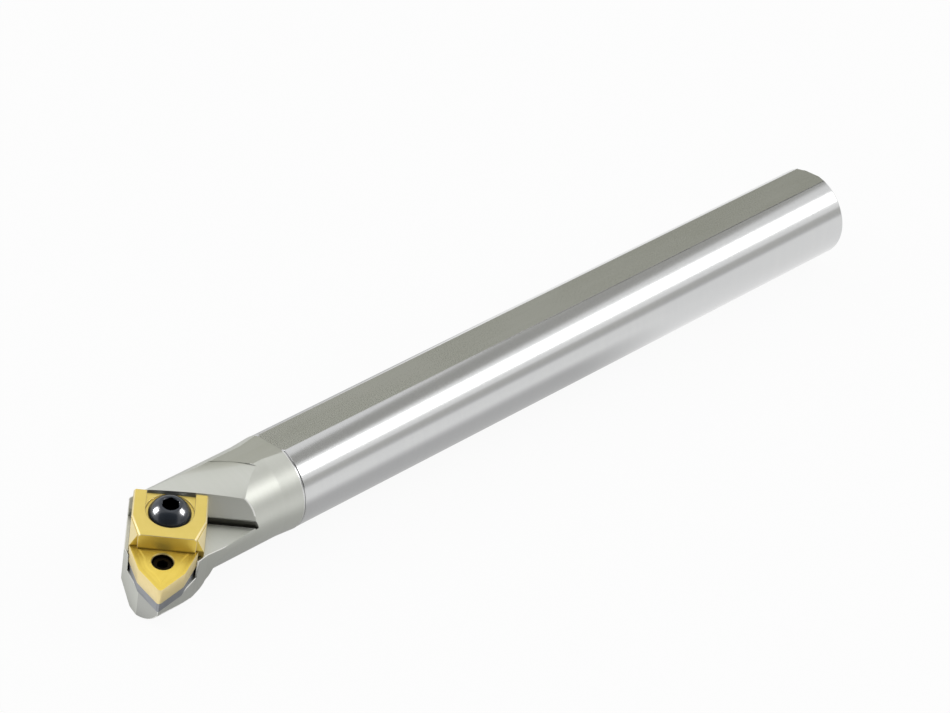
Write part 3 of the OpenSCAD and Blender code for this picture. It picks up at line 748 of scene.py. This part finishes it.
def clamp_coating():
    """Satin pale gold coating on a blasted clamp."""
    f = Finish("clamp_coating", Metallic=0.8)
    fine, cloud = f.grain(4200, (1, 1, 1), 4), f.grain(380, (1, 1, 1), 3)
    face = abs(f.facing(SEAT_UP)).step(0.7, 0.95)
    front = f.facing(-SEAT_BACK).step(0.9, 0.97)
    top = f.blend(cloud, (0.78, 0.61, 0.15), (0.85, 0.67, 0.20))
    side = f.blend(cloud, (0.82, 0.69, 0.36), (0.88, 0.77, 0.47))
    colour = f.blend(front, f.blend(face, side, top), (0.85, 0.63, 0.12))
    # painted shade, darker where the finger's front meets the insert
    foot = front * (1 - f.reach(NOSE, SEAT_UP).step(0.15, 0.75))
    colour = f.blend(foot * 0.8, colour, (0.12, 0.075, 0.012))
    return f.feed(Base_Color=colour, Roughness=0.36 + (fine - 0.5) * 0.14,
                  Normal=f.bump(fine, 0.18, 0.00004))


def black_oxide():
    """Black oxide on the clamp screw, polished and lightly oiled, with painted shade in its socket.
    """
    f = Finish("black_oxide", Specular_IOR_Level=0.6)
    fine, cloud = f.grain(3600, (1, 1, 1), 4), f.grain(240, (1, 1, 1), 2)
    up, crown = f.reach(SCREW_AXIS.translation, SEAT_UP), RECESS_FLOOR + SCREW_HEAD_H
    # painted shade: the hexagon socket near-black and fully metallic, so it reflects next to
    # nothing
    socket = up.step(0, 1) * (1 - up.step(crown - 0.4, crown - 0.2)) * (
        1 - f.off_axis(SCREW_AXIS).step(SCREW_KEY / 2 + 0.25, SCREW_KEY / 2 + 0.45))
    colour = f.blend(cloud, (0.004, 0.006, 0.009), (0.008, 0.011, 0.016))
    return f.feed(Base_Color=f.blend(socket, colour, (0.002, 0.002, 0.002)), Metallic=socket,
                  Roughness=0.20 + (fine - 0.5) * 0.06, Normal=f.bump(fine, 0.05, 0.00003))


def pin_black():
    """Matt phosphate black on the lock pin."""
    f = Finish("pin_black", Metallic=1.0)
    fine = f.grain(3000, (1, 1, 1), 4)
    return f.feed(Base_Color=f.blend(fine, (0.012, 0.009, 0.006), (0.024, 0.019, 0.013)),
                  Roughness=0.55 + (fine - 0.5) * 0.2, Normal=f.bump(fine, 0.15, 0.00004))


def ring_steel():
    """Bright spring steel of the stop ring."""
    f = Finish("ring_steel", Metallic=1.0)
    fine = f.grain(3000, (1, 1, 0.2), 3)
    return f.feed(Base_Color=f.blend(fine, (0.42, 0.42, 0.40), (0.56, 0.56, 0.54)),
                  Roughness=0.3 + (fine - 0.5) * 0.15, Normal=f.bump(fine, 0.1, 0.00003))


def dress(piece, place, material, body, node):
    """Puts a piece in its place in the bar's frame, in metres, with its finish."""
    piece.data.transform(Matrix.Scale(MM, 4) @ place)
    piece.data.materials.clear()
    piece.data.materials.append(material)
    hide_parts(node)
    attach(piece, body)


dress(bar_body(), Matrix.Identity(4), bar_steel(), "bar", "bar")
dress(shim_plate(), SEAT, shim_carbide(), "bar", "shim")
dress(turning_insert(), SEAT, insert_coating(), "bar", "insert")
dress(lock_pin_body(), PIN_AXIS, pin_black(), "bar", "lock_pin")
dress(clamp_body(), SEAT, clamp_coating(), "clamp", "clamp")
dress(clamp_screw_body(), SCREW_AXIS @ Matrix.Translation((0, 0, RECESS_FLOOR)), black_oxide(),
      "clamp_screw", "clamp_screw")
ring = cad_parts["stop_ring"]
ring.data.materials.clear()
ring.data.materials.append(ring_steel())


# ---- the studio ----

def paths(f):
    """1 where the camera looks, and 1 where a gloss or a glass looks."""
    camera, gloss, glass = [f.node("LightPath", output=k) for k in (
        "Is Camera Ray", "Is Glossy Ray", "Is Transmission Ray")]
    return camera, gloss.most(glass)


def stand(piece, f):
    """Puts a piece of the studio in place, in metres, with its surface."""
    piece.data.transform(Matrix.Scale(MM, 4))
    piece.data.materials.append(f.material)


def studio_floor():
    """A white floor. What metal sees of it carries painted shade: darker close to the bar, before
    it, and far off.
    """
    floor = piece_from("studio_floor", [(x, y, cad_box[0].z / MM) for x, y in (
        (-4000, -4000), (4000, -4000), (4000, 4000), (-4000, 4000))], [(0, 1, 2, 3)])
    f = Finish("floor_white")
    f.tree.nodes.remove(f.shader)
    camera, gloss = paths(f)
    x, y = f.part(f.here(), 0), f.part(f.here(), 1)
    head = 1 - x.step(-0.23, -0.18)
    close = x.step(-0.253, -0.245) * (1 - x.step(-0.10, -0.055)) * y.step(
        -0.036, -0.020) * (0.40 + head * 0.12)
    before = (1 - x.step(-0.27, -0.235)) * (1 - y.step(-0.055, -0.03)) * 0.60
    far = (1 - y.step(-0.22, -0.10)) * 0.38
    tone = f.blend(close.most(before).most(far) * gloss, (1.0, 1.0, 1.0), (0.0, 0.0, 0.0))
    paint = f.node("BsdfDiffuse", values={"Color": (0.9, 0.9, 0.9)})
    glow = f.node("Emission", values={"Color": tone, "Strength": 1.0})
    mixed = f.node("MixShader", values={0: camera * 0.93 + gloss, 1: paint, 2: glow})
    f.tree.links.new(mixed.socket, f.tree.nodes["Material Output"].inputs["Surface"])
    stand(floor, f)


def studio_card(name, at, size, tint):
    """A plain card that only glossy surfaces see, square to the bar."""
    w, h = size[0] / 2, size[1] / 2
    back = (Vector((-120, 0, 0)) - Vector(at)).normalized()
    place = Matrix.Translation(at) @ back.to_track_quat("Z", "Y").to_matrix().to_4x4()
    card = piece_from(name, [(-w, -h, 0), (w, -h, 0), (w, h, 0), (-w, h, 0)], [(0, 1, 2, 3)], place)
    f = Finish(name)
    f.tree.nodes.remove(f.shader)
    glow = f.node("Emission", values={"Color": tint, "Strength": 1.0})
    f.tree.links.new(glow.socket, f.tree.nodes["Material Output"].inputs["Surface"])
    card.visible_camera = card.visible_diffuse = card.visible_shadow = False
    stand(card, f)


def softbox(name, at, aim, size, level, lit=None):
    """An area lamp whose face has the radiance level. lit names the one piece that it lights."""
    lamp = bpy.data.lights.new(name, "AREA")
    lamp.shape, lamp.size, lamp.size_y = "RECTANGLE", size[0], size[1]
    lamp.energy = level * math.pi * size[0] * size[1]
    holder = bpy.data.objects.new(name, lamp)
    scene.collection.objects.link(holder)
    holder.location = at
    holder.rotation_mode = "QUATERNION"
    holder.rotation_quaternion = (Vector(aim) - Vector(at)).to_track_quat("-Z", "Y")
    if lit:
        group = bpy.data.collections.new(name)
        group.objects.link(bpy.data.objects[lit])
        holder.light_linking.receiver_collection = group


studio_floor()
studio_card("grey_card_rear", (900, 900, 660), (1900, 760), (0.40, 0.405, 0.37))
studio_card("grey_card_right", (587, -843, 60), (1150, 260), (0.58, 0.58, 0.56))
studio_card("grey_card_above", (436, -296, 790), (900, 240), (0.42, 0.42, 0.40))
studio_card("dark_card_front", (-841, -643, 500), (2300, 1250), (0.12, 0.12, 0.115))
softbox("softbox_right", (0.62, -0.78, 0.60), (-0.12, 0, 0), (0.75, 0.36), 2.1)
softbox("softbox_left", (-0.89, 0.79, 0.72), (-0.22, 0, 0), (0.42, 0.42), 2.0)
softbox("kicker_right", (0.72, -0.73, 0.60), (-0.24, 0, 0), (0.46, 0.46), 46, "clamp_screw_body")
softbox("kicker_left", (-0.88, 0.78, 0.65), (-0.24, 0, 0), (0.46, 0.46), 48, "clamp_screw_body")

world = bpy.data.worlds.new("studio")
scene.world = world
world.use_nodes = True
sky = Finish("sky", world.node_tree)
camera_sees, gloss_sees = paths(sky)
shown = camera_sees + gloss_sees
sky.put(world.node_tree.nodes["Background"].inputs["Strength"], shown + (1 - shown) * 0.70)
world.node_tree.nodes["Background"].inputs["Color"].default_value = (1, 1, 1, 1)

# The camera stands where the photograph was taken from
camera = bpy.data.objects.new("camera", bpy.data.cameras.new("camera"))
scene.collection.objects.link(camera)
camera.data.sensor_fit, camera.data.sensor_width, camera.data.lens = "HORIZONTAL", 36, 135.6154
camera.data.clip_start, camera.data.clip_end = 0.02, 20
camera.matrix_world = Matrix((
    (0.72025032, 0.36037913, -0.59276163, -0.676731),
    (-0.69371131, 0.37167183, -0.61694786, -0.568539),
    (-0.00202234, 0.85556235, 0.51769584, 0.484008),
    (0, 0, 0, 1)))
scene.camera = camera
